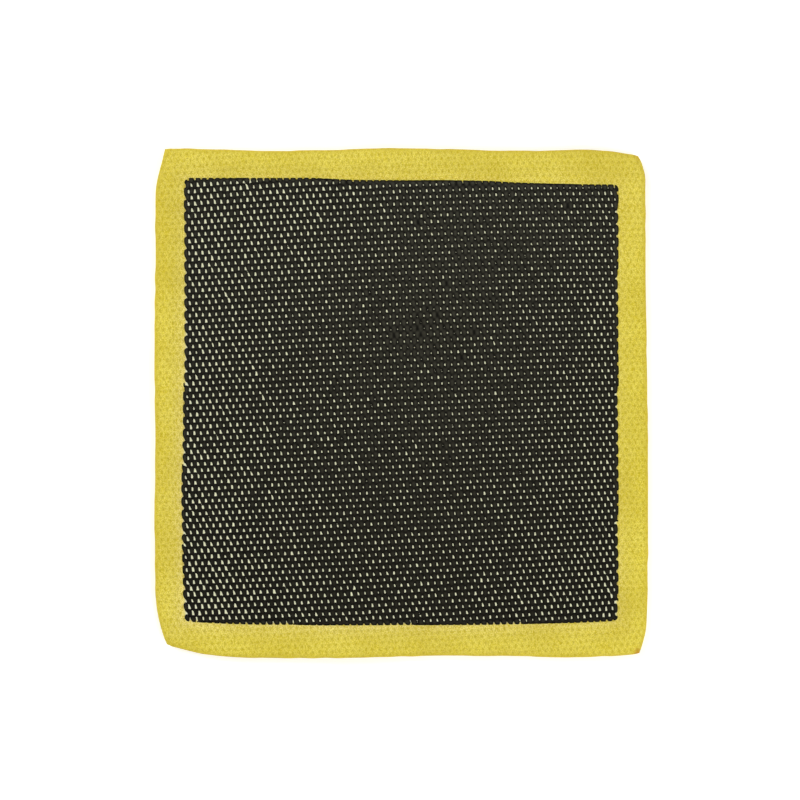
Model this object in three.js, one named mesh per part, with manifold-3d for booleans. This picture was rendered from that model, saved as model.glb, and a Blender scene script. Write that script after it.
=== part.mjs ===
// A clay towel: a square pad of two knitted microfibre panels, sewn right sides together and turned,
// with a rubbery polymer clay coat bonded to the front one. Millimetres, +Z up. The origin is the
// middle of the flat back, and the towel lies on its back with the clay coat facing up.
import Module from "manifold-3d";
import * as THREE from "three";
import { mergeVertices } from "three/addons/utils/BufferGeometryUtils.js";

const wasm = await Module();
wasm.setup();

// Driving dimensions
const WIDTH = 295; // along X
const LENGTH = 305; // along Y
const CORNER_RADIUS = 12;
const CLOTH = 1.0; // thickness of one ply of knitted cloth, its pile pressed
const GAP = 0.3; // room between pieces that touch
const THREAD = 0.25; // diameter of the sewing thread
const ALLOWANCE = 8; // cloth turned in at every edge
const SLOPE_START = 8.5; // the front face slopes down between these two distances from the edge
const SLOPE_END = 16;
const CLAY_SHARE = 0.875; // the clay coat's outline is the towel's, made this much smaller
const CLAY = 0.9; // thickness of the clay coat
const TURNING_GAP = 70; // length of the -Y edge that the seam leaves open, to turn the towel through
const TURNING_CENTRE = 46; // where that opening is along X
const CLOSING_INSET = 2.6; // distance of the closing stitch from the edge
const CLOSING_OVERLAP = 3; // how far the closing stitch runs past each end of the opening

// Heights and radii that follow from them
const HALF_WIDTH = WIDTH / 2;
const FOLD_INNER = THREAD / 2 + GAP; // the thread lies inside the fold
const FOLD_OUTER = FOLD_INNER + CLOTH;
const FOLD_AXIS = HALF_WIDTH - FOLD_OUTER;
const TURNED_IN = HALF_WIDTH - ALLOWANCE;
const FOLD_HEIGHT = 2 * FOLD_OUTER;
const BACK_FOLD_Z = FOLD_OUTER;
const FRONT_FOLD_Z = FOLD_HEIGHT + GAP + FOLD_OUTER;
const EDGE_TOP = 2 * FOLD_HEIGHT + GAP;
const FRONT_BOTTOM = CLOTH + GAP; // the middle of the front panel rests on the back panel
const FRONT_TOP = FRONT_BOTTOM + CLOTH;
const CLAY_BOTTOM = FRONT_TOP + GAP;
const CLOSING_LENGTH = TURNING_GAP + 2 * CLOSING_OVERLAP;
const CLOSING_Y = CLOSING_INSET - LENGTH / 2;

// The towel's outline seen from above: a rectangle with rounded corners
function towelOutline() {
  const x = HALF_WIDTH - CORNER_RADIUS;
  const y = LENGTH / 2 - CORNER_RADIUS;
  const outline = new THREE.Path();
  outline.moveTo(HALF_WIDTH, -y);
  outline.lineTo(HALF_WIDTH, y);
  outline.absarc(x, y, CORNER_RADIUS, 0, Math.PI / 2);
  outline.absarc(-x, y, CORNER_RADIUS, Math.PI / 2, Math.PI);
  outline.absarc(-x, -y, CORNER_RADIUS, Math.PI, 1.5 * Math.PI);
  outline.absarc(x, -y, CORNER_RADIUS, 1.5 * Math.PI, 2 * Math.PI);
  return outline.getPoints(3);
}

const OUTLINE = towelOutline();

// Turns a profile, whose outermost radius is HALF_WIDTH, into a ring or a sheet that follows the
// towel's outline in place of a circle: every ring of points is the outline at a smaller scale.
function followOutline(profile) {
  const points = profile.getPoints(5);
  const geometry = new THREE.LatheGeometry(points, OUTLINE.length - 1);
  const position = geometry.attributes.position;
  for (let i = 0; i < position.count; i++) {
    const { x: radius, y: height } = points[i % points.length];
    const corner = OUTLINE[Math.floor(i / points.length)];
    const scale = radius / HALF_WIDTH;
    position.setXYZ(i, corner.x * scale, corner.y * scale, height);
  }
  return geometry;
}

// Manifold solids, and back to three.js geometry
function toSolid(geometry) {
  const bare = geometry.clone();
  bare.deleteAttribute("normal");
  bare.deleteAttribute("uv");
  const merged = mergeVertices(bare);
  const corners = merged.index.array;
  const kept = [];
  for (let i = 0; i < corners.length; i += 3) {
    const [a, b, c] = corners.slice(i, i + 3);
    if (a !== b && b !== c && c !== a) kept.push(a, b, c);
  }
  const mesh = new wasm.Mesh({
    numProp: 3,
    vertProperties: merged.attributes.position.array,
    triVerts: new Uint32Array(kept),
  });
  return new wasm.Manifold(mesh);
}

function toGeometry(solid) {
  const mesh = solid.getMesh();
  const geometry = new THREE.BufferGeometry();
  geometry.setAttribute("position", new THREE.BufferAttribute(mesh.vertProperties, 3));
  geometry.setIndex(new THREE.BufferAttribute(mesh.triVerts, 1));
  geometry.computeVertexNormals();
  return geometry;
}

function cut(geometry, tool) {
  return toGeometry(toSolid(geometry).subtract(toSolid(tool)));
}

// A short groove in a panel's outer face, where the closing stitch presses the pile down
function closingGroove(faceZ) {
  const depth = THREAD + GAP;
  const groove = new THREE.BoxGeometry(CLOSING_LENGTH + 2 * GAP, THREAD + 2 * GAP, 2 * depth);
  groove.translate(TURNING_CENTRE, CLOSING_Y, faceZ);
  return groove;
}

// The back panel: flat, with its edge turned in over it
function backCloth() {
  const profile = new THREE.Path();
  profile.moveTo(0, 0);
  profile.lineTo(FOLD_AXIS, 0);
  profile.absarc(FOLD_AXIS, BACK_FOLD_Z, FOLD_OUTER, -Math.PI / 2, Math.PI / 2, false);
  profile.lineTo(TURNED_IN, BACK_FOLD_Z + FOLD_OUTER);
  profile.lineTo(TURNED_IN, BACK_FOLD_Z + FOLD_INNER);
  profile.absarc(FOLD_AXIS, BACK_FOLD_Z, FOLD_INNER, Math.PI / 2, -Math.PI / 2, true);
  profile.lineTo(0, CLOTH);
  return cut(followOutline(profile), closingGroove(0));
}

// The front panel: its edge is turned in under it, and inside that ridge it drops onto the back panel
function frontCloth() {
  const high = HALF_WIDTH - SLOPE_START;
  const low = HALF_WIDTH - SLOPE_END;
  const middle = (high + low) / 2;
  const profile = new THREE.Path();
  profile.moveTo(0, FRONT_BOTTOM);
  profile.lineTo(low, FRONT_BOTTOM);
  profile.bezierCurveTo(middle, FRONT_BOTTOM, middle, EDGE_TOP - CLOTH, high, EDGE_TOP - CLOTH);
  profile.absarc(FOLD_AXIS, FRONT_FOLD_Z, FOLD_INNER, Math.PI / 2, -Math.PI / 2, true);
  profile.lineTo(TURNED_IN, FRONT_FOLD_Z - FOLD_INNER);
  profile.lineTo(TURNED_IN, FRONT_FOLD_Z - FOLD_OUTER);
  profile.absarc(FOLD_AXIS, FRONT_FOLD_Z, FOLD_OUTER, -Math.PI / 2, Math.PI / 2, false);
  profile.lineTo(high, EDGE_TOP);
  profile.bezierCurveTo(middle, EDGE_TOP, middle, FRONT_TOP, low, FRONT_TOP);
  profile.lineTo(0, FRONT_TOP);
  return cut(followOutline(profile), closingGroove(EDGE_TOP));
}

// The clay coat: a thin slab with a rounded edge on the middle of the front panel
function clayLayer() {
  const radius = CLAY / 2;
  const edge = HALF_WIDTH * CLAY_SHARE - radius;
  const profile = new THREE.Path();
  profile.moveTo(0, CLAY_BOTTOM);
  profile.lineTo(edge, CLAY_BOTTOM);
  profile.absarc(edge, CLAY_BOTTOM + radius, radius, -Math.PI / 2, Math.PI / 2, false);
  profile.lineTo(0, CLAY_BOTTOM + CLAY);
  return followOutline(profile);
}

// A thread of the seam: it runs inside a panel's fold, and stops at the turning opening
function seamThread(foldZ) {
  const profile = new THREE.Path();
  profile.absarc(FOLD_AXIS, foldZ, THREAD / 2, 0, 2 * Math.PI, false);
  const opening = new THREE.BoxGeometry(TURNING_GAP, 2 * ALLOWANCE, 2 * EDGE_TOP);
  opening.translate(TURNING_CENTRE, -LENGTH / 2, foldZ);
  return cut(followOutline(profile), opening);
}

// A thread of the closing stitch, lying in its groove
function closingThread() {
  const thread = new THREE.CapsuleGeometry(THREAD / 2, CLOSING_LENGTH - THREAD, 3, 8);
  thread.rotateZ(Math.PI / 2);
  return thread;
}

function addPiece(name, geometry, color, roughness, position = [0, 0, 0]) {
  const material = new THREE.MeshStandardMaterial({ color, roughness, metalness: 0 });
  const mesh = new THREE.Mesh(geometry, material);
  mesh.name = name;
  mesh.position.set(...position);
  towel.add(mesh);
}

const CLOTH_YELLOW = 0xdac84e;
const THREAD_YELLOW = 0xcdb83c;
const CLAY_BLACK = 0x2c2b26;

const towel = new THREE.Group();
addPiece("back_cloth", backCloth(), CLOTH_YELLOW, 0.95);
addPiece("front_cloth", frontCloth(), CLOTH_YELLOW, 0.95);
addPiece("clay_layer", clayLayer(), CLAY_BLACK, 0.6);
addPiece("seam_needle_thread", seamThread(FRONT_FOLD_Z), THREAD_YELLOW, 0.7);
addPiece("seam_bobbin_thread", seamThread(BACK_FOLD_Z), THREAD_YELLOW, 0.7);
const frontStitch = [TURNING_CENTRE, CLOSING_Y, EDGE_TOP - THREAD / 2];
const backStitch = [TURNING_CENTRE, CLOSING_Y, THREAD / 2];
addPiece("closing_needle_thread", closingThread(), THREAD_YELLOW, 0.7, frontStitch);
addPiece("closing_bobbin_thread", closingThread(), THREAD_YELLOW, 0.7, backStitch);

export default towel;
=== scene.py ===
import math

import bpy
import numpy as np
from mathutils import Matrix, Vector


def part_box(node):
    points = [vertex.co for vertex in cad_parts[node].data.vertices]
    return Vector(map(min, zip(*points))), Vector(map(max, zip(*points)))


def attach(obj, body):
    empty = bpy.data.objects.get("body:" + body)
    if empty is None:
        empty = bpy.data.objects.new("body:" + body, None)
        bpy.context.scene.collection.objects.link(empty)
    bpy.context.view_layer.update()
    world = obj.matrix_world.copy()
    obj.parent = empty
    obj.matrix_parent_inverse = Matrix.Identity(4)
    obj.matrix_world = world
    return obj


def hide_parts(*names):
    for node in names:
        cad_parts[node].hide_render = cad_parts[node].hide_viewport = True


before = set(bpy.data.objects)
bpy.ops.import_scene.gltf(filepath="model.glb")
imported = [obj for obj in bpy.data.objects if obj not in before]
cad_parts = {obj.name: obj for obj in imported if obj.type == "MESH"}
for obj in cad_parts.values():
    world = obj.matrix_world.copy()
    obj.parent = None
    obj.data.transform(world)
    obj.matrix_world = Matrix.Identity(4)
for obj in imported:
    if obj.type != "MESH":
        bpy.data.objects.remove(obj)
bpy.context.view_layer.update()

MM = 0.001

# ---- sizes from the frame, in millimetres --------------------------------------------------------


def box_mm(node):
    """A CAD node's lowest and highest corners in millimetres."""
    low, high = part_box(node)
    return np.array(low) / MM, np.array(high) / MM


HALF_X, HALF_Y, EDGE_TOP = box_mm("front_cloth")[1]
CLAY_LOW, CLAY_HIGH = box_mm("clay_layer")
STITCH_LOW, STITCH_HIGH = box_mm("closing_needle_thread")
CLAY_BASE = CLAY_LOW[2]
CLAY_HEIGHT = CLAY_HIGH[2] - CLAY_LOW[2]
STITCH_START, STITCH_END = STITCH_LOW[0], STITCH_HIGH[0]
STITCH_INSET = (STITCH_LOW[1] + STITCH_HIGH[1]) / 2 + HALF_Y

# ---- how the cloth is cut and turned, in millimetres ---------------------------------------------

SEAM_Z = EDGE_TOP / 2  # height of the seam between the two turned edges
ROLL = 3.4  # distance from the edge over which a panel rolls down to the seam
FRONT_ROLL_END = 0.9  # where the front panel's roll ends, above the seam
BACK_ROLL_END = 1.0  # where the back panel's roll ends, below the seam
RIDGE_TOP = 5.15  # height of the four plies at the edge, pressed together
RIDGE_END = 6.8  # the ridge slopes down from this distance from the edge ...
FIELD_START = 17.5  # ... to this one, where only two plies are left
ALLOWANCE = 7.0  # width of the cloth that is turned in
SKIN = CLAY_BASE - 0.03  # top of the front cloth, just under the coat
PLY = 0.95  # thickness of one ply
DIMPLE_DEPTH = 0.38  # of the knit's dimples on bare cloth
DOME_HEIGHT = 0.02  # how far the cloth rises into the coat's holes
GROOVE_DEPTH = 0.3  # of the closing stitch's groove
PUCKER = 0.28  # height of the small waves along the edge
CLOTH_STEP = 0.6  # spacing of the cloth's mesh
COARSE = 8  # cells of the outer face for each cell of the hidden inner face

# Each side's outline: mean inset from the frame's box, then the height, length and crest of its wave,
# and the row of the noise that ripples it
SIDES = {
    "left": (0.3, 0.25, 110.0, 90.0, 6.0),
    "right": (0.4, 0.8, 330.0, 110.0, 7.0),
    "bottom": (0.3, 0.65, 200.0, 35.0, 8.0),
    "top": (1.15, 0.75, 145.0, -72.0, 5.0),
}
# How far each corner is drawn in from that line, and over what length: along X, then along Y
CORNERS = {
    ("left", "top"): ((5.6, 16.5), (0.2, 12.0)),
    ("right", "top"): ((4.6, 11.5), (4.3, 21.0)),
    ("left", "bottom"): ((7.3, 19.5), (7.0, 25.0)),
    ("right", "bottom"): ((3.9, 12.0), (2.4, 26.0)),
}
TIP_ROUNDING = 0.5  # how far the very tip of a corner is drawn in

# ---- the knit's grain, which the coat's bumps and holes follow -----------------------------------

ROW = 3.74  # distance between rows of holes
COLUMN = 4.04  # distance between holes in a row
ROW_SLOPE = 0.048  # how much the rows rise to the right
COLUMN_LEAN = 0.0173  # how much the columns lean to the left

# ---- the coat of clay ----------------------------------------------------------------------------

CLAY_STEP = 0.5  # spacing of the coat's mesh
FIELD_LOW = (-131.7, -133.3)  # the coat's corners
FIELD_HIGH = (130.3, 134.5)
LUMP = (1.37, 2.46)  # half width and half height of a bump
LUMP_POWER = 2.8  # 2 for an oval bump, and more for a squarer one
LUMP_TILT = math.radians(7)
LUMP_BLEND = 0.16  # how softly neighbouring bumps run into each other
LUMP_COUNT = 160  # the bumps' random differences repeat after this many
RIM_SLOPE = 1.4  # steepness of the coat's rims
RIM_DEPTH = 0.25  # least depth, for its height, of a point that isn't on the rim

RANDOM = np.random.default_rng(41)


# ---- small tools ---------------------------------------------------------------------------------


def smoothstep(x, start, end):
    """0 before start and 1 after end, with a smooth rise between them."""
    t = np.clip((x - start) / (end - start), 0, 1)
    return t * t * (3 - 2 * t)


def smooth_min(a, b, width):
    """The lesser of a and b, rounded over width where they meet."""
    blend = np.clip(0.5 + 0.5 * (b - a) / width, 0, 1)
    return b + (a - b) * blend - width * blend * (1 - blend)


def value_noise(x, y, table):
    """Smooth noise with one random value at each whole x and y."""
    n = len(table)
    column, row = np.floor(x).astype(int), np.floor(y).astype(int)
    u, v = x - column, y - row
    u, v = u * u * (3 - 2 * u), v * v * (3 - 2 * v)
    column, row, right, above = column % n, row % n, (column + 1) % n, (row + 1) % n
    near = table[column, row] * (1 - u) + table[right, row] * u
    far = table[column, above] * (1 - u) + table[right, above] * u
    return near * (1 - v) + far * v


EDGE_NOISE = RANDOM.uniform(-1, 1, (64, 64))
BROAD_NOISE = RANDOM.uniform(-1, 1, (64, 64))
HOLE_NOISE = RANDOM.normal(0, 1, (160, 160))


def knit(x, y):
    """Which column and row of the knit a point is on. Holes are at whole rows, and at whole columns
    on even rows and halfway between them on odd rows. The cloth is pulled a little out of square, so
    both bend towards the corners."""
    u, v = x / 100, y / 100
    row = (y - ROW_SLOPE * x) / ROW + 0.22
    row += 0.08 * u**2 + 0.17 * u * v + 0.26 * u**2 * v
    column = (x + COLUMN_LEAN * y) / COLUMN + 0.36
    column += 0.2 * u**2 + 0.08 * u * v - 0.15 * v**2 + 0.24 * u**3 + 0.15 * u * v**2 + 0.22 * v**3
    return column, row


def make_object(name, points, loops, sizes):
    """A mesh object from points in millimetres and faces given as their corners in one row."""
    mesh = bpy.data.meshes.new(name)
    mesh.vertices.add(len(points))
    mesh.vertices.foreach_set("co", (points * MM).astype(np.float32).ravel())
    mesh.loops.add(len(loops))
    mesh.loops.foreach_set("vertex_index", loops.astype(np.int32))
    mesh.polygons.add(len(sizes))
    starts = np.concatenate([[0], np.cumsum(sizes)[:-1]])
    mesh.polygons.foreach_set("loop_start", starts.astype(np.int32))
    mesh.update(calc_edges=True)
    mesh.polygons.foreach_set("use_smooth", np.ones(len(sizes), dtype=bool))
    piece = bpy.data.objects.new(name, mesh)
    bpy.context.scene.collection.objects.link(piece)
    return piece


def store(piece, name, values):
    """Keeps a value for each vertex, for the piece's material to read."""
    layer = piece.data.attributes.new(name, "FLOAT", "POINT")
    layer.data.foreach_set("value", np.clip(values, 0, 1).astype(np.float32))


# ---- how the towel lies: a coarse cloth simulation -----------------------------------------------

DRAPE_CELLS = 48
DRAPE_FRAMES = 20
DRAPE_TILES = 2.2  # how many of the first rumples fit in half the towel
RUMPLE = 5.0  # height of the first rumples, in millimetres
MOST_LIFT = 1.8  # the settled towel rises no more than this off the table, in millimetres
TABLE_SKIN = 0.0005  # gap that the simulation keeps between sheet and table, in metres


def simulate_drape():
    """Lets a slightly rumpled sheet settle on a table, and returns its heights in millimetres."""
    count = DRAPE_CELLS + 1
    across, along = np.linspace(-1, 1, count), np.linspace(-1, 1, count)
    gx, gy = np.meshgrid(across, along, indexing="ij")
    rumple = RUMPLE * value_noise(gx * DRAPE_TILES + 9, gy * DRAPE_TILES + 4, BROAD_NOISE)
    rumple += 1.3 * RUMPLE
    points = np.stack([gx * HALF_X, gy * HALF_Y, rumple], axis=-1).reshape(-1, 3)
    sheet = make_object("drape_sheet", points, *grid_faces(np.arange(count**2).reshape(count, count)))
    cloth = sheet.modifiers.new("cloth", "CLOTH")
    cloth.settings.quality = 8
    cloth.settings.mass = 0.02
    cloth.settings.tension_stiffness = 30
    cloth.settings.compression_stiffness = 30
    cloth.settings.shear_stiffness = 15
    cloth.settings.bending_stiffness = 60
    cloth.settings.air_damping = 2
    cloth.collision_settings.distance_min = TABLE_SKIN
    table = square("drape_table", 4 * HALF_Y, 0)
    table.modifiers.new("collision", "COLLISION")
    table.collision.thickness_outer = TABLE_SKIN
    scene = bpy.context.scene
    for number in range(1, DRAPE_FRAMES + 1):
        scene.frame_set(number)
    settled = sheet.evaluated_get(bpy.context.evaluated_depsgraph_get())
    heights = np.array([v.co.z for v in settled.data.vertices]).reshape(count, count) / MM
    scene.frame_set(1)
    for helper in (sheet, table):
        bpy.data.objects.remove(helper)
    return heights


def square(name, size, height):
    """A flat square in the middle of the frame, at a height, all in millimetres."""
    corners = np.array([[-1, -1, 0], [1, -1, 0], [1, 1, 0], [-1, 1, 0]]) * size / 2
    corners[:, 2] = height
    return make_object(name, corners, np.arange(4), np.array([4]))


def quads(index):
    """The corners of each cell of a grid of vertex numbers, facing up when the rows run along +X."""
    return np.stack([index[:-1, :-1], index[1:, :-1], index[1:, 1:], index[:-1, 1:]], axis=-1)


def grid_faces(index):
    """A face for each cell of a grid of vertex numbers, as make_object takes them."""
    corners = quads(index)
    return corners.ravel(), np.full(corners.size // 4, 4)


def settle(heights):
    """The lift of each part of the towel off the table: the sheet's heights, eased to stay small."""
    lowest = np.percentile(heights, 20)
    return MOST_LIFT * np.tanh(np.clip(heights - lowest, 0, None) / MOST_LIFT)


LIFT = settle(simulate_drape())


def lift(x, y):
    """The drape's height at each point, as a smooth surface close to the simulated grid."""
    u = np.clip((x / HALF_X + 1) / 2 * DRAPE_CELLS, 1, DRAPE_CELLS - 1.001)
    v = np.clip((y / HALF_Y + 1) / 2 * DRAPE_CELLS, 1, DRAPE_CELLS - 1.001)
    i, j = np.floor(u).astype(int), np.floor(v).astype(int)
    total = np.zeros_like(u)
    for across, weight in enumerate(spline_weights(u - i), -1):
        for along, other_weight in enumerate(spline_weights(v - j), -1):
            total += weight * other_weight * LIFT[i + across, j + along]
    return total


def spline_weights(t):
    """The four weights of a uniform cubic B-spline."""
    return (
        (1 - t) ** 3 / 6,
        (3 * t**3 - 6 * t**2 + 4) / 6,
        (-3 * t**3 + 3 * t**2 + 3 * t + 1) / 6,
        t**3 / 6,
    )


# ---- the towel's outline -------------------------------------------------------------------------


def side_inset(side, along):
    """How far a side's edge lies inside the frame's box at each place along it."""
    mean, height, length, crest, noise_row = SIDES[side]
    wave = mean + height * np.cos(2 * math.pi * (along - crest) / length)
    frill = 0.22 * value_noise(along / 7.5 + 31, np.full_like(along, noise_row), EDGE_NOISE)
    across = side in ("left", "right")
    half = HALF_Y if across else HALF_X
    drawn_in = np.zeros_like(along)
    for (x_side, y_side), values in CORNERS.items():
        if side not in (x_side, y_side):
            continue
        far = half if (y_side == "top" if across else x_side == "right") else -half
        depth, reach = values[0] if across else values[1]
        drawn_in += depth * np.exp(-(((along - far) / reach) ** 2))
    return wave + frill + drawn_in


def outline(s, t):
    """Maps s and t from 0 to 1 across the towel to its true outline: a patch between four sides."""
    nominal_x, nominal_y = (2 * s - 1) * HALF_X, (2 * t - 1) * HALF_Y
    x, y = nominal_x, nominal_y
    for _ in range(4):
        left = -HALF_X + side_inset("left", y)
        right = HALF_X - side_inset("right", y)
        x = left + (right - left) * s
        bottom = -HALF_Y + side_inset("bottom", x)
        top = HALF_Y - side_inset("top", x)
        y = bottom + (top - bottom) * t
    off_corner = (HALF_X - np.abs(nominal_x)) ** 2 + (HALF_Y - np.abs(nominal_y)) ** 2
    tip = 1 - TIP_ROUNDING / HALF_X * np.exp(-off_corner / 6)
    return x * tip, y * tip


def inset_outline(s, t, inset):
    """The outline drawn in all round by inset millimetres."""
    return outline(0.5 + (s - 0.5) * (1 - inset / HALF_X), 0.5 + (t - 0.5) * (1 - inset / HALF_Y))


def edge_distance(s, t):
    """The distances to the nearest side along X and along Y, and the lesser one with soft corners."""
    from_x = np.minimum(s, 1 - s) * 2 * HALF_X
    from_y = np.minimum(t, 1 - t) * 2 * HALF_Y
    return from_x, from_y, smooth_min(from_x, from_y, 5.0)


# ---- a panel of cloth ----------------------------------------------------------------------------


def mesh_lines(length):
    """Places of the mesh lines from 0 at one edge to 1 at the other, closer together on the roll."""
    angle = np.linspace(0, math.pi / 2, COARSE + 1)
    rolled = ROLL * (1 - np.cos(angle))
    flat = length - 2 * ROLL
    count = round(flat / CLOTH_STEP / COARSE) * COARSE
    middle = np.linspace(ROLL, length - ROLL, count + 1)[1:-1]
    return np.concatenate([rolled, middle, (length - rolled)[::-1]]) / length


S_LINES, T_LINES = mesh_lines(2 * HALF_X), mesh_lines(2 * HALF_Y)


def dimples(x, y):
    """The knit's dimples: 1 in the middle of each, at the same places as the coat's holes."""
    column, row = knit(x, y)
    a, b = column + row / 2, column - row / 2
    across = (a - np.round(a) + b - np.round(b)) / 2 * COLUMN
    up = ((a - np.round(a)) - (b - np.round(b))) * ROW
    return np.exp(-(((across + 0.12 * up) / 0.7) ** 2) - (up / 1.15) ** 2)


def rounded(distance):
    """0 at the edge and 1 from ROLL inwards, along a quarter of an ellipse."""
    return np.sqrt(np.clip(1 - np.clip(1 - distance / ROLL, 0, 1) ** 2, 0, 1))


def pucker(x, y, distance):
    """The small waves that the seam draws along the edge."""
    waves = value_noise(x / 6.5 + 11, y / 6.5 + 7, EDGE_NOISE)
    return PUCKER * waves * np.exp(-((distance / 7) ** 2))


def closing_groove(x, distance):
    """Where the closing stitch presses the cloth down: 1 along its line."""
    begun = smoothstep(x, STITCH_START - 1, STITCH_START + 1)
    ended = smoothstep(x, STITCH_END - 1, STITCH_END + 1)
    return begun * (1 - ended) * np.exp(-(((distance - STITCH_INSET) / 0.75) ** 2))


def front_height(s, t):
    """Height of the front panel's outer face."""
    from_x, from_y, near = edge_distance(s, t)
    plateau = SKIN + (RIDGE_TOP - SKIN) * (1 - smoothstep(near, RIDGE_END, FIELD_START))
    silhouette = SEAM_Z + FRONT_ROLL_END
    return silhouette + (plateau - silhouette) * rounded(from_x) * rounded(from_y)


def back_height(s, t):
    """Height of the back panel's outer face, which rests on the table."""
    from_x, from_y, _ = edge_distance(s, t)
    return (SEAM_Z - BACK_ROLL_END) * (1 - rounded(from_x) * rounded(from_y))


# What each panel does past its edge, as the inset and height of each ring of its mesh: from the seam
# along the turned-in allowance and round its cut end, and then, inside the fold, along the underside
# of the outer face to the middle
FRONT_TURN = (
    [(0.1, 3.62), (0.4, 3.28), (0.85, 3.1), (1.6, 3.06), (3.2, 3.06), (5.2, 3.07)]
    + [(ALLOWANCE - 0.2, 3.1), (ALLOWANCE, 3.35), (ALLOWANCE - 0.25, 3.62), (5.2, 3.68), (3.2, 3.7)]
)
FRONT_FOLD = [(1.9, 3.76), (1.45, 3.92), (1.9, 4.1), (3.2, 4.16), (5.0, 4.17)]
BACK_TURN = [(inset, 2 * SEAM_Z - height) for inset, height in FRONT_TURN]
BACK_FOLD = [(1.9, 2.2), (1.45, 1.85), (1.9, 1.45), (3.2, 1.3), (5.0, 1.25)]
BACK_MIDDLE = [(ALLOWANCE, 1.22), (FIELD_START + 0.5, 1.2)]


def front_middle():
    """Rings of the front panel's underside down the slope from the ridge to the middle."""
    insets = np.linspace(ALLOWANCE, FIELD_START + 0.5, 7)
    ridge = 1 - smoothstep(insets, RIDGE_END, FIELD_START)
    heights = SKIN - PLY + (RIDGE_TOP - SKIN) * ridge
    return list(zip(insets.tolist(), heights.tolist()))


def coat_marks(x, y):
    """How much the coat covers the cloth, and how much the cloth is made paler and bluer close to it, more
    to the lower left, and a little more toward the top.
    """
    from_coat = field_distance(x, y)
    paled_near_coat = np.exp(np.clip(from_coat, None, 0) / 4.3) * (0.25 + 0.75 * smoothstep(-x - 1.2 * y, -120, 160))
    return smoothstep(from_coat, 0.5, 1.9), paled_near_coat + 0.1 * smoothstep(y, 60, 140)


def outer_face(height, up):
    """A panel's outer face: its points, how it is puckered, and what its material needs to know."""
    s, t = np.meshgrid(S_LINES, T_LINES, indexing="ij")
    x, y = outline(s, t)
    _, _, near = edge_distance(s, t)
    dimple = dimples(x, y)
    covered, paled_near_coat = coat_marks(x, y)
    covered, paled_near_coat = covered * up, paled_near_coat * up
    relief = dimple * (DIMPLE_DEPTH * smoothstep(near, 1.0, 3.0) - (DIMPLE_DEPTH + DOME_HEIGHT) * covered)
    relief += GROOVE_DEPTH * closing_groove(x, near) * (y < 0)
    puckered = pucker(x, y, near)
    z = height(s, t)
    z = z - relief + puckered if up else z + relief + 0.3 * np.abs(puckered)
    # edge marks where the rolled edge gets painted shade
    marks = {"dimple": dimple, "edge": np.exp(-((near / 2.2) ** 2)), "under_coat": covered, "paled_near_coat": paled_near_coat}
    return np.stack([x, y, z], axis=-1), puckered, marks


def border_of(grid):
    """A grid's values all round its border, from its first corner, without repeating it."""
    return np.concatenate([grid[:, 0], grid[-1, 1:], grid[-2::-1, -1], grid[0, -2:0:-1]])


def panel(name, height, rings, up):
    """One panel as a closed mesh: its outer face, its turned edge and its inner face."""
    outside, puckered, marks = outer_face(height, up)
    shape = puckered.shape
    index = np.arange(puckered.size).reshape(shape)
    points = [outside.reshape(-1, 3)]
    faces = [grid_faces(index if up else index[:, ::-1])]

    rim_s = border_of(np.broadcast_to(S_LINES[:, None], shape))
    rim_t = border_of(np.broadcast_to(T_LINES, shape))
    rim_pucker = border_of(puckered)
    previous, count = border_of(index), index.size
    for inset, ring_height in rings:
        x, y = inset_outline(rim_s, rim_t, inset)
        z = ring_height + 0.6 * rim_pucker * math.exp(-inset / 3)
        points.append(np.stack([x, y, z], axis=-1))
        current = np.arange(count, count + len(rim_s))
        band = np.stack([previous, current], axis=0)
        band = np.concatenate([band, band[:, :1]], axis=1)
        faces.append(grid_faces(band if up else band[:, ::-1]))
        previous, count = current, count + len(rim_s)
    inner_points, inner_faces = inner_face(previous, count, rings[-1], up)
    points.append(inner_points)
    faces.append(inner_faces)

    points = np.concatenate(points)
    points[:, 2] += lift(points[:, 0], points[:, 1])
    loops, sizes = (np.concatenate(part) for part in zip(*faces))
    piece = make_object(name, points, loops, sizes)
    hidden = len(points) - index.size
    for mark, values in marks.items():
        unseen = 1.0 if mark == "edge" else 0.0
        store(piece, mark, np.append(values.ravel(), np.full(hidden, unseen)))
    return piece


def inner_face(ring, count, last_ring, up):
    """The hidden inner face, in coarse cells, of which the outer ones take in the whole fine ring."""
    inset, height = last_ring
    n, m = len(S_LINES) - 1, len(T_LINES) - 1
    s, t = np.meshgrid(S_LINES[::COARSE], T_LINES[::COARSE], indexing="ij")
    x, y = inset_outline(s, t, inset)
    points = np.stack([x, y, np.full_like(x, height)], axis=-1)[1:-1, 1:-1].reshape(-1, 3)

    closed = np.append(ring, ring[0])
    index = np.zeros(s.shape, dtype=int)
    index[:, 0] = closed[: n + 1 : COARSE]
    index[-1, :] = closed[n : n + m + 1 : COARSE]
    index[:, -1] = closed[n + m : 2 * n + m + 1 : COARSE][::-1]
    index[0, :] = closed[2 * n + m :: COARSE][::-1]
    inside = index[1:-1, 1:-1]
    index[1:-1, 1:-1] = np.arange(count, count + inside.size).reshape(inside.shape)

    place = {int(vertex): k for k, vertex in enumerate(ring)}
    loops, sizes = [], []
    for i in range(index.shape[0] - 1):
        for j in range(index.shape[1] - 1):
            corners = [int(index[a, b]) for a, b in ((i, j), (i, j + 1), (i + 1, j + 1), (i + 1, j))]
            cell = []
            for start, end in zip(corners, corners[1:] + corners[:1]):
                cell += [start, *fine_vertices(start, end, ring, place)]
            loops += cell if up else cell[::-1]
            sizes.append(len(cell))
    return points, (np.array(loops), np.array(sizes))


def fine_vertices(start, end, ring, place):
    """The ring's vertices between two corners of a coarse cell, where its side lies on the ring."""
    if start not in place or end not in place:
        return []
    for way in (1, -1):
        if way * (place[end] - place[start]) % len(ring) == COARSE:
            return [int(ring[(place[start] + way * k) % len(ring)]) for k in range(1, COARSE)]
    return []


# ---- the coat ------------------------------------------------------------------------------------


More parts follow.
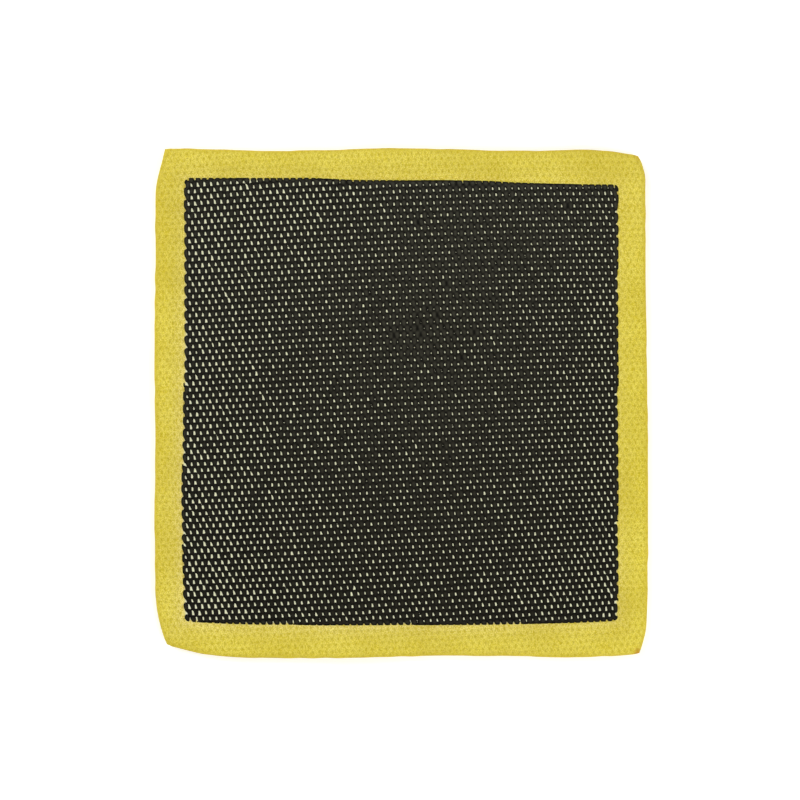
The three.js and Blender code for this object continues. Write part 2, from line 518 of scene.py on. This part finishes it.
def field_distance(x, y, spare=0.0):
    """Distance inside the coat's printed rectangle, with slightly wandering sides. With some spare,
    the top and bottom sides lie that much further out."""
    drift = 0.2 * value_noise(x / 17 + 3, y / 17 + 5, BROAD_NOISE)
    left = FIELD_LOW[0] + 1.8 * (1 - np.exp(-(((y + 60) / 55) ** 2)))
    bottom = FIELD_LOW[1] + 1.9 * (x / 128) ** 4 + 0.5 * smoothstep(x, 30, 110)
    top = FIELD_HIGH[1] - 1.3 * smoothstep(x, -60, -25) - 2.8 * smoothstep(x, 20, 125)
    from_x = np.minimum(x - left, FIELD_HIGH[0] - x)
    from_y = np.minimum(y - bottom, top - y) + spare
    return smooth_min(from_x, from_y, 4.0) + drift


# How each bump differs from the rest: its place, its size, its tilt and its taper
LUMP_SHIFT = RANDOM.normal(0, 1, (LUMP_COUNT, LUMP_COUNT, 2)) * (0.06, 0.08)
LUMP_GROWTH = RANDOM.normal(0, 0.022, (LUMP_COUNT, LUMP_COUNT, 2))
LUMP_TURN = LUMP_TILT + RANDOM.normal(0, math.radians(3.5), (LUMP_COUNT, LUMP_COUNT))
LUMP_TAPER = RANDOM.uniform(0.1, 0.45, (LUMP_COUNT, LUMP_COUNT))


def lump_depth(across, up, i, j):
    """How deep inside one bump a point lies, in millimetres: below 0 outside it."""
    shift = LUMP_SHIFT[i, j]
    growth = LUMP_GROWTH[i, j]
    turn = LUMP_TURN[i, j]
    dx, dy = across - shift[..., 0], up - shift[..., 1]
    along_x = dx * np.cos(turn) + dy * np.sin(turn)
    along_y = dy * np.cos(turn) - dx * np.sin(turn)
    taper = 1 + LUMP_TAPER[i, j] * np.clip(along_y / LUMP[1], -1, 1)
    wide = LUMP[0] * (1 + growth[..., 0]) * taper
    tall = LUMP[1] * (1 + growth[..., 1])
    total = np.abs(along_x / wide) ** LUMP_POWER + np.abs(along_y / tall) ** LUMP_POWER
    return LUMP[0] * (1 - total ** (2 / LUMP_POWER)) / 2


def spread(x, y):
    """How far the clay has spread into the holes, in millimetres: most in the middle, a little more
    in one small smear and in a cloud round it, and at the top more on the right than on the left."""
    sides = ((x - 15) / 145) ** 2
    low = np.clip(-y / 125, 0, 1) ** 2
    high = np.clip(y / 125, 0, 1) ** 2
    smear = np.exp(-(((x - 8) / 15) ** 2) - ((y - 40) / 10) ** 2)
    cloud = np.exp(-(((x - 25) / 60) ** 2) - ((y - 60) / 55) ** 2)
    sweep = np.tanh(x / 45) * smoothstep(x, -110, -45) * smoothstep(y, 50, 105)
    less = 0.22 * sides + 0.09 * low + 0.06 * high
    more = 0.13 * smear + 0.05 * cloud + 0.085 * sweep
    return 0.31 - less + more


def clay_depth(x, y):
    """How deep inside the coat a point lies: above 0 on clay, below 0 in a hole or outside. The four
    bumps round the point are run together, apart from any whose middle lies outside the coat, and a
    thin band just inside the coat's edge is kept more closed."""
    column, row = knit(x, y)
    a, b = column + row / 2, column - row / 2
    first_a, first_b = np.floor(a - 0.5) + 0.5, np.floor(b - 0.5) + 0.5
    total = np.zeros_like(x)
    for step_a in (0, 1):
        for step_b in (0, 1):
            lump_a, lump_b = first_a + step_a, first_b + step_b
            across = (a - lump_a + b - lump_b) / 2 * COLUMN
            up = ((a - lump_a) - (b - lump_b)) * ROW
            i = (lump_a - 0.5).astype(int) % LUMP_COUNT
            j = (lump_b - 0.5).astype(int) % LUMP_COUNT
            from_edge = field_distance(x - across, y - up, 2.0)
            deep = lump_depth(across, up, i, j) - 4 * (1 - smoothstep(from_edge, -0.5, 0.3))
            total += np.exp(np.clip(deep, -6, 2) / LUMP_BLEND)
    depth = LUMP_BLEND * np.log(total) + spread(x, y) + 0.035 * value_noise(a, b, HOLE_NOISE)
    inside = field_distance(x, y)
    border = 0.3 * np.exp(-(((inside - 1.6) / 0.8) ** 2))
    return smooth_min(depth + border, inside + 0.05, 0.6)


def clay_height(depth):
    """Height of the coat's domed surface above the cloth."""
    top = CLAY_HEIGHT * 0.92
    return top * np.tanh(RIM_SLOPE * np.clip(depth, 0, None) / top)


def clay_layer():
    """The coat as one closed mesh on a square grid, with its rim moved onto the holes' outlines. Where
    it is a single cell wide, its top and its underside meet."""
    lines = [np.arange(low - 2, high + 2, CLAY_STEP) for low, high in zip(FIELD_LOW, FIELD_HIGH)]
    x, y = np.meshgrid(*lines, indexing="ij")
    middle_x, middle_y = (x[:-1, :-1] + x[1:, 1:]) / 2, (y[:-1, :-1] + y[1:, 1:]) / 2
    filled = clay_depth(middle_x, middle_y) > 0
    drop_crumbs(filled)
    fill_pinches(filled)

    padded = np.pad(filled, 1)
    around = padded[:-1, :-1].astype(int) + padded[1:, :-1] + padded[:-1, 1:] + padded[1:, 1:]
    used, rim = around > 0, (around > 0) & (around < 4)
    x[rim], y[rim] = move_to_rim(x[rim], y[rim])
    depth = clay_depth(x, y)
    z = clay_height(np.maximum(depth, RIM_DEPTH))
    z[rim] = 0

    top = np.full(x.shape, -1)
    top[used] = np.arange(used.sum())
    under = top.copy()
    inner = used & ~rim
    under[inner] = np.arange(used.sum(), used.sum() + inner.sum())
    px, py = np.concatenate([x[used], x[inner]]), np.concatenate([y[used], y[inner]])
    pz = np.concatenate([z[used], np.zeros(inner.sum())])
    points = np.stack([px, py, CLAY_BASE + pz + lift(px, py)], axis=-1)
    faces = np.concatenate([quads(top)[filled], quads(under)[filled][:, ::-1]])
    piece = make_object("clay_layer_soft", points, faces.ravel(), np.full(len(faces), 4))
    piece.data.set_sharp_from_angle(angle=math.radians(80))
    # rim carries painted shade: darkest low on the slopes down into the holes
    store(piece, "rim", 1 - smoothstep(np.concatenate([depth[used], depth[inner]]), 0.2, 1.15))
    return piece


def drop_crumbs(filled):
    """Empties cells that have fewer than two filled neighbours along their sides."""
    for _ in range(2):
        around = np.pad(filled, 1).astype(int)
        beside = around[:-2, 1:-1] + around[2:, 1:-1] + around[1:-1, :-2] + around[1:-1, 2:]
        filled &= beside >= 2


def fill_pinches(filled):
    """Fills a cell wherever two filled cells touch only at a corner."""
    a, b = filled[:-1, :-1], filled[1:, 1:]
    c, d = filled[1:, :-1], filled[:-1, 1:]
    for _ in range(3):
        c |= a & b & ~c & ~d
        a |= c & d & ~a & ~b


def move_to_rim(x, y):
    """Moves points onto the outline of the clay along the steepest way, by under half a cell."""
    small = 0.02
    most = 0.42 * CLAY_STEP
    start_x, start_y = x.copy(), y.copy()
    for _ in range(3):
        depth = clay_depth(x, y)
        slope_x = (clay_depth(x + small, y) - clay_depth(x - small, y)) / (2 * small)
        slope_y = (clay_depth(x, y + small) - clay_depth(x, y - small)) / (2 * small)
        steep = np.maximum(slope_x**2 + slope_y**2, 0.15)
        x, y = x - depth * slope_x / steep, y - depth * slope_y / steep
        x = np.clip(x, start_x - most, start_x + most)
        y = np.clip(y, start_y - most, start_y + most)
    return x, y


# ---- sewing thread -------------------------------------------------------------------------------

THREAD_RADIUS = 0.16
STITCH = 3.0  # length of one stitch
BRIDGE = 0.22  # how far a closing stitch arches up over the cloth ...
SUNK = 0.42  # ... from this depth in it
DIVE = 0.75  # how much deeper it goes at each end
SEAM_INSET = 1.75  # distance of the hidden seam from the edge
NEEDLE_HEIGHT = 3.93  # of the hidden seam's threads
BOBBIN_HEIGHT = 1.83
SEAM_THREAD_RADIUS = 0.8 * THREAD_RADIUS
SEAM_POINTS = 6  # points for each stitch of the hidden seam
SEAM_OVERLAP = 3.0  # how far the seam runs in under each end of the closing stitch


def tube(name, path, radius, sides=8):
    """A closed tube along a path of points."""
    along = np.gradient(path, axis=0)
    along /= np.linalg.norm(along, axis=1, keepdims=True)
    side = np.cross(along, [0.0, 0.0, 1.0])
    side /= np.maximum(np.linalg.norm(side, axis=1, keepdims=True), 1e-9)
    other = np.cross(side, along)
    angle = np.linspace(0, 2 * math.pi, sides, endpoint=False)[:, None]
    ring = path[:, None] + radius * (np.cos(angle) * side[:, None] + np.sin(angle) * other[:, None])
    index = np.arange(len(path) * sides).reshape(len(path), sides)
    wrapped = np.concatenate([index, index[:, :1]], axis=1)
    loops, sizes = grid_faces(wrapped[:, ::-1])
    loops = np.concatenate([loops, index[0], index[-1][::-1]])
    sizes = np.concatenate([sizes, [sides, sides]])
    return make_object(name, ring.reshape(-1, 3), loops, sizes)


def closing_thread(name, up):
    """The closing stitch's thread on one face: in each stitch, a bridge over the cloth and a dive."""
    along = np.arange(STITCH_START, STITCH_END, STITCH / 10)
    arch = np.abs(np.sin(math.pi * (along - STITCH_START) / STITCH)) ** 0.5
    depth = SUNK + DIVE * (1 - arch) - BRIDGE * arch
    s = (along / HALF_X + 1) / 2
    t = np.full_like(along, STITCH_INSET / (2 * HALF_Y))
    x, y = outline(s, t)
    z = front_height(s, t) - depth if up else back_height(s, t) + depth
    return tube(name, np.stack([x, y, z + lift(x, y)], axis=-1), THREAD_RADIUS)


def seam_thread(name, height, turn):
    """A thread of the hidden seam: a run of small waves round the edge, open at the closing stitch."""
    perimeter = 4 * (HALF_X + HALF_Y)
    count = round(perimeter / STITCH) * SEAM_POINTS
    place = np.linspace(0, 4, count, endpoint=False)
    side, along = np.floor(place).astype(int), place % 1
    s = np.choose(side, [along, np.ones(count), 1 - along, np.zeros(count)])
    t = np.choose(side, [np.zeros(count), along, np.ones(count), 1 - along])
    x, y = inset_outline(s, t, SEAM_INSET)
    opening = (side == 0) & (x > STITCH_START + SEAM_OVERLAP) & (x < STITCH_END - SEAM_OVERLAP)
    first = int(np.nonzero(opening)[0][-1]) + 1
    order = np.roll(np.arange(count), -first)[: count - int(opening.sum())]
    wave = 0.1 * np.cos(2 * math.pi * np.arange(count) / SEAM_POINTS + turn)
    z = height + wave + lift(x, y)
    return tube(name, np.stack([x, y, z], axis=-1)[order], SEAM_THREAD_RADIUS, 6)


# ---- materials -----------------------------------------------------------------------------------


def srgb(red, green, blue):
    """An sRGB colour in 0 to 255 as linear RGBA."""
    channel = [c / 255 for c in (red, green, blue)]
    linear = [c / 12.92 if c <= 0.04045 else ((c + 0.055) / 1.055) ** 2.4 for c in channel]
    return (*linear, 1.0)


class Shader:
    """A material and a few short ways to add nodes to it."""

    def __init__(self, name):
        self.material = bpy.data.materials.new(name)
        self.material.use_nodes = True
        self.tree = self.material.node_tree
        self.base = next(n for n in self.tree.nodes if n.type == "BSDF_PRINCIPLED")
        self.place = self.node("ShaderNodeTexCoord").outputs["Object"]

    def node(self, kind, **settings):
        """A new node of a kind, with its settings."""
        made = self.tree.nodes.new(kind)
        for key, value in settings.items():
            setattr(made, key, value)
        return made

    def link(self, source, target):
        """Joins a node's output to another's input."""
        self.tree.links.new(source, target)

    def place_in(self, width, height):
        """The place on the piece, counted in cells of width by height millimetres."""
        made = self.node("ShaderNodeVectorMath", operation="MULTIPLY")
        made.inputs[1].default_value = (1 / (width * MM), 1 / (height * MM), 1 / (width * MM))
        self.link(self.place, made.inputs[0])
        return made.outputs["Vector"]

    def noise(self, width, height, detail=2.0, roughness=0.5):
        """Noise whose features are about width by height millimetres."""
        made = self.node("ShaderNodeTexNoise")
        made.inputs["Scale"].default_value = 1
        made.inputs["Detail"].default_value = detail
        made.inputs["Roughness"].default_value = roughness
        self.link(self.place_in(width, height), made.inputs["Vector"])
        return made.outputs["Fac"]

    def loops(self, width, height):
        """Round cells about width by height millimetres, like the loops of a knit: 0 in the middle."""
        made = self.node("ShaderNodeTexVoronoi", feature="F1")
        made.inputs["Scale"].default_value = 1
        made.inputs["Randomness"].default_value = 0.8
        self.link(self.place_in(width, height), made.inputs["Vector"])
        return made.outputs["Distance"]

    def attribute(self, name):
        """A value that was stored for each vertex."""
        return self.node("ShaderNodeAttribute", attribute_name=name).outputs["Fac"]

    def ramp(self, value, low, high, start=0.0, end=1.0):
        """Value, moved from the range low to high to the range start to end, and clamped."""
        made = self.node("ShaderNodeMapRange", clamp=True)
        for key, number in zip(("From Min", "From Max", "To Min", "To Max"), (low, high, start, end)):
            made.inputs[key].default_value = number
        self.link(value, made.inputs["Value"])
        return made.outputs["Result"]

    def mix(self, factor, first, second, blend="MIX"):
        """A colour between first and second, each a colour or another node's output."""
        made = self.node("ShaderNodeMix", data_type="RGBA", blend_type=blend)
        self.link(factor, made.inputs["Factor"])
        for socket, colour in ((made.inputs[6], first), (made.inputs[7], second)):
            if isinstance(colour, tuple):
                socket.default_value = colour
            else:
                self.link(colour, socket)
        return made.outputs[2]

    def add(self, first, second, weight=1.0):
        """First plus weight times second."""
        made = self.node("ShaderNodeMath", operation="MULTIPLY_ADD")
        self.link(second, made.inputs[0])
        made.inputs[1].default_value = weight
        self.link(first, made.inputs[2])
        return made.outputs[0]

    def bump(self, height, distance, strength=1.0):
        """Bump of up to distance millimetres."""
        made = self.node("ShaderNodeBump")
        made.inputs["Strength"].default_value = strength
        made.inputs["Distance"].default_value = distance * MM
        self.link(height, made.inputs["Height"])
        self.link(made.outputs["Normal"], self.base.inputs["Normal"])


CLOTH_YELLOW = srgb(242, 224, 70)
CLOTH_SHADE_AND_TONE = srgb(190, 165, 22)  # painted shade between the loops and in the dimples, and the darker tone between the fibres and in patches
CLOTH_PALE = srgb(251, 238, 124)  # painted highlight on top of the loops, and the sheen's tint
CLOTH_NEAR_COAT_TINT = (1.05, 1.06, 2.5, 1.0)  # what the yellow is multiplied by near the coat: paler and bluer, with red and green raised as painted light on the shaded slopes there
# paler cloth in the coat's holes, brightened further as painted light against the holes' shade
CLOTH_UNDER_CLAY = srgb(237, 237, 202)
# painted shade on the rolled edge
CLOTH_EDGE_SHADE = srgb(211, 187, 52)
STAIN_ORANGE = srgb(196, 140, 38)
STAINS = (((141.2, -149.4, 4.0), 0.85), ((142.0, 147.5, 4.0), 0.4))  # place in millimetres, strength
# CLAY_DARK: the specks' colour, and the painted shade at the holes' rims
CLAY_DARK = srgb(3, 2, 0)
CLAY_BLACK = srgb(43, 41, 32)
# CLAY_GREY: the lighter end of the mottle and of the painted sheen toward the top
CLAY_GREY = srgb(60, 59, 50)
THREAD_DEEP = srgb(214, 192, 56)
THREAD_YELLOW = srgb(238, 221, 98)


def cloth_material(name):
    """Knitted microfibre: small loops with fibres across them, painted highlight on the loops and painted
    shade between them and in the dimples, painted shade on the rolled edge, paler and bluer cloth near the
    coat, cloth in the coat's holes brightened against their shade, and a few stains.
    """
    shader = Shader(name)
    loops = shader.loops(0.55, 0.92)
    fibre = shader.noise(0.34, 0.6, 2.0, 0.6)
    patch = shader.noise(34.0, 34.0, 3.0)
    # painted highlight on the loops' tops and painted shade between them
    colour = shader.mix(shader.ramp(loops, 0.1, 0.7), CLOTH_PALE, CLOTH_YELLOW)
    colour = shader.mix(shader.ramp(loops, 0.55, 0.95, 0.0, 0.8), colour, CLOTH_SHADE_AND_TONE)
    colour = shader.mix(shader.ramp(fibre, 0.45, 0.7, 0.0, 0.95), colour, CLOTH_SHADE_AND_TONE)
    colour = shader.mix(shader.ramp(patch, 0.4, 0.7, 0.0, 0.3), colour, CLOTH_SHADE_AND_TONE)
    # painted shade in the dimples
    colour = shader.mix(shader.ramp(shader.attribute("dimple"), 0.15, 1.0, 0.0, 0.75), colour, CLOTH_SHADE_AND_TONE)
    # painted shade on the rolled edge
    colour = shader.mix(shader.ramp(shader.attribute("edge"), 0.1, 1.0, 0.0, 0.6), colour, CLOTH_EDGE_SHADE)
    # paler and bluer near the coat; the raised red and green paint light onto the slopes' shade
    colour = shader.mix(shader.attribute("paled_near_coat"), colour, CLOTH_NEAR_COAT_TINT, "MULTIPLY")
    # cloth seen in the holes, brightened to lift the shade on the hole floors
    colour = shader.mix(shader.attribute("under_coat"), colour, CLOTH_UNDER_CLAY)
    for place, strength in STAINS:
        spot = shader.node("ShaderNodeVectorMath", operation="DISTANCE")
        spot.inputs[1].default_value = [c * MM for c in place]
        shader.link(shader.place, spot.inputs[0])
        ragged = shader.add(spot.outputs["Value"], shader.noise(1.2, 1.2), 0.004)
        colour = shader.mix(shader.ramp(ragged, 0.003, 0.0055, strength, 0.0), colour, STAIN_ORANGE)
    shader.link(colour, shader.base.inputs["Base Color"])
    shader.link(shader.ramp(fibre, 0.3, 0.8, 0.85, 1.0), shader.base.inputs["Roughness"])
    shader.base.inputs["Specular IOR Level"].default_value = 0.15
    shader.base.inputs["Sheen Weight"].default_value = 0.25
    shader.base.inputs["Sheen Roughness"].default_value = 0.5
    shader.base.inputs["Sheen Tint"].default_value = CLOTH_PALE
    shader.bump(shader.add(shader.ramp(loops, 0.0, 0.9, 1.0, 0.0), fibre, 0.6), 0.4)
    return shader.material


def clay_material():
    """Rubbery clay: nearly matt, with random mottle, a painted sheen that makes it greyer toward the top,
    specks, and painted shade that darkens the rims of the holes.
    """
    shader = Shader("polymer_clay")
    mottle = shader.noise(26.0, 26.0, 4.0, 0.6)
    speck = shader.noise(1.6, 1.6, 3.0, 0.6)
    skin = shader.noise(0.5, 0.5, 3.0, 0.65)
    axes = shader.node("ShaderNodeSeparateXYZ")
    shader.link(shader.place, axes.inputs[0])
    # painted sheen: the coat is made greyer toward the top, with random mottle on it
    sheen_and_mottle = shader.add(shader.ramp(axes.outputs["Y"], -0.13, 0.13), mottle, 0.5)
    colour = shader.mix(shader.ramp(sheen_and_mottle, 0.2, 1.35), CLAY_BLACK, CLAY_GREY)
    colour = shader.mix(shader.ramp(speck, 0.5, 0.8, 0.0, 0.6), colour, CLAY_DARK)
    # painted shade at the rims of the holes
    colour = shader.mix(shader.ramp(shader.attribute("rim"), 0.0, 1.0, 0.0, 0.9), colour, CLAY_DARK)
    shader.link(colour, shader.base.inputs["Base Color"])
    shader.link(shader.ramp(mottle, 0.3, 0.75, 0.66, 0.5), shader.base.inputs["Roughness"])
    shader.base.inputs["Specular IOR Level"].default_value = 0.06
    shader.bump(shader.add(speck, skin, 0.5), 0.12, 0.6)
    return shader.material


def thread_material():
    """Glossier sewing thread with its plies twisted round each other."""
    shader = Shader("polyester_thread")
    ply = shader.node("ShaderNodeTexWave", wave_type="BANDS", bands_direction="DIAGONAL")
    ply.inputs["Scale"].default_value = 1 / (2.2 * MM)
    ply.inputs["Distortion"].default_value = 0.4
    shader.link(shader.place, ply.inputs["Vector"])
    colour = shader.mix(ply.outputs["Fac"], THREAD_DEEP, THREAD_YELLOW)
    shader.link(colour, shader.base.inputs["Base Color"])
    shader.link(shader.ramp(ply.outputs["Fac"], 0.0, 1.0, 0.7, 0.5), shader.base.inputs["Roughness"])
    shader.base.inputs["Sheen Weight"].default_value = 0.2
    shader.bump(ply.outputs["Fac"], 0.06, 0.7)
    return shader.material


# ---- the pieces ----------------------------------------------------------------------------------


def finish_piece(piece, material, node):
    """Gives a piece its material, hangs it under the root body, and hides the CAD node that it stands for.
    """
    piece.data.materials.append(material)
    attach(piece, "root")
    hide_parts(node)


front = panel("front_cloth_soft", front_height, FRONT_TURN + FRONT_FOLD + front_middle(), True)
back = panel("back_cloth_soft", back_height, BACK_TURN + BACK_FOLD + BACK_MIDDLE, False)
finish_piece(front, cloth_material("microfibre_front"), "front_cloth")
finish_piece(back, cloth_material("microfibre_back"), "back_cloth")
finish_piece(clay_layer(), clay_material(), "clay_layer")

THREADS = {
    "closing_needle_thread": closing_thread("closing_needle_stitches", True),
    "closing_bobbin_thread": closing_thread("closing_bobbin_stitches", False),
    "seam_needle_thread": seam_thread("seam_needle_stitches", NEEDLE_HEIGHT, 0.0),
    "seam_bobbin_thread": seam_thread("seam_bobbin_stitches", BOBBIN_HEIGHT, math.pi),
}
THREAD_FINISH = thread_material()
for thread_node, thread_piece in THREADS.items():
    finish_piece(thread_piece, THREAD_FINISH, thread_node)

# ---- the stage -----------------------------------------------------------------------------------

VIEW_WIDTH = 0.4788  # width of the camera's view at the coat's top, in metres
VIEW_SHIFT = (-0.0006, 0.0015)  # how far the view's middle lies from the towel's, in metres
CAMERA_LENS = 100.0  # in millimetres, like the sensor and the floor's two values
CAMERA_SENSOR = 36.0
FLOOR_SIZE = 6000.0
FLOOR_HEIGHT = -0.05  # just clear of the towel's flat back
LAMP_SIZE = 1.2  # in metres
LAMPS = {  # place in metres, and power in watts
    "key_softbox": ((-1.3, 1.2, 1.3), 31),
    "fill_softbox": ((1.3, -1.1, 1.3), 27),
}


def floor():
    """A large sheet of white paper that gives off a little light, so that it stays white."""
    plane = square("studio_floor", FLOOR_SIZE, FLOOR_HEIGHT)
    shader = Shader("studio_paper")
    shader.base.inputs["Base Color"].default_value = (0.93, 0.93, 0.93, 1)
    shader.base.inputs["Roughness"].default_value = 0.9
    shader.base.inputs["Emission Color"].default_value = (1, 1, 1, 1)
    shader.base.inputs["Emission Strength"].default_value = 0.3
    plane.data.materials.append(shader.material)


def lamp(name, place, watts):
    """A square soft light that faces the towel."""
    data = bpy.data.lights.new(name, "AREA")
    data.shape = "SQUARE"
    data.size = LAMP_SIZE
    data.energy = watts
    made = bpy.data.objects.new(name, data)
    made.location = place
    made.rotation_euler = (-Vector(place)).to_track_quat("-Z", "Y").to_euler()
    bpy.context.scene.collection.objects.link(made)


def studio_air():
    """Light from all round: bright walls and a dimmer ceiling."""
    world = bpy.data.worlds.new("studio_air")
    world.use_nodes = True
    tree = world.node_tree
    parts = tree.nodes.new("ShaderNodeSeparateXYZ")
    tree.links.new(tree.nodes.new("ShaderNodeTexCoord").outputs["Generated"], parts.inputs[0])
    walls = tree.nodes.new("ShaderNodeMapRange")
    for key, number in zip(("From Min", "From Max", "To Min", "To Max"), (0.0, 0.6, 0.95, 0.3)):
        walls.inputs[key].default_value = number
    tree.links.new(parts.outputs["Z"], walls.inputs["Value"])
    tree.links.new(walls.outputs["Result"], tree.nodes["Background"].inputs["Strength"])
    tree.nodes["Background"].inputs["Color"].default_value = (1.0, 1.0, 1.0, 1)
    return world


def camera():
    """A long lens that looks straight down."""
    data = bpy.data.cameras.new("camera")
    data.lens = CAMERA_LENS
    data.sensor_width = CAMERA_SENSOR
    made = bpy.data.objects.new("camera", data)
    made.location = (*VIEW_SHIFT, CLAY_HIGH[2] * MM + VIEW_WIDTH * CAMERA_LENS / CAMERA_SENSOR)
    bpy.context.scene.collection.objects.link(made)
    bpy.context.scene.camera = made


floor()
for lamp_name, (lamp_place, lamp_watts) in LAMPS.items():
    lamp(lamp_name, lamp_place, lamp_watts)
bpy.context.scene.world = studio_air()
bpy.context.scene.view_settings.view_transform = "Standard"
camera()
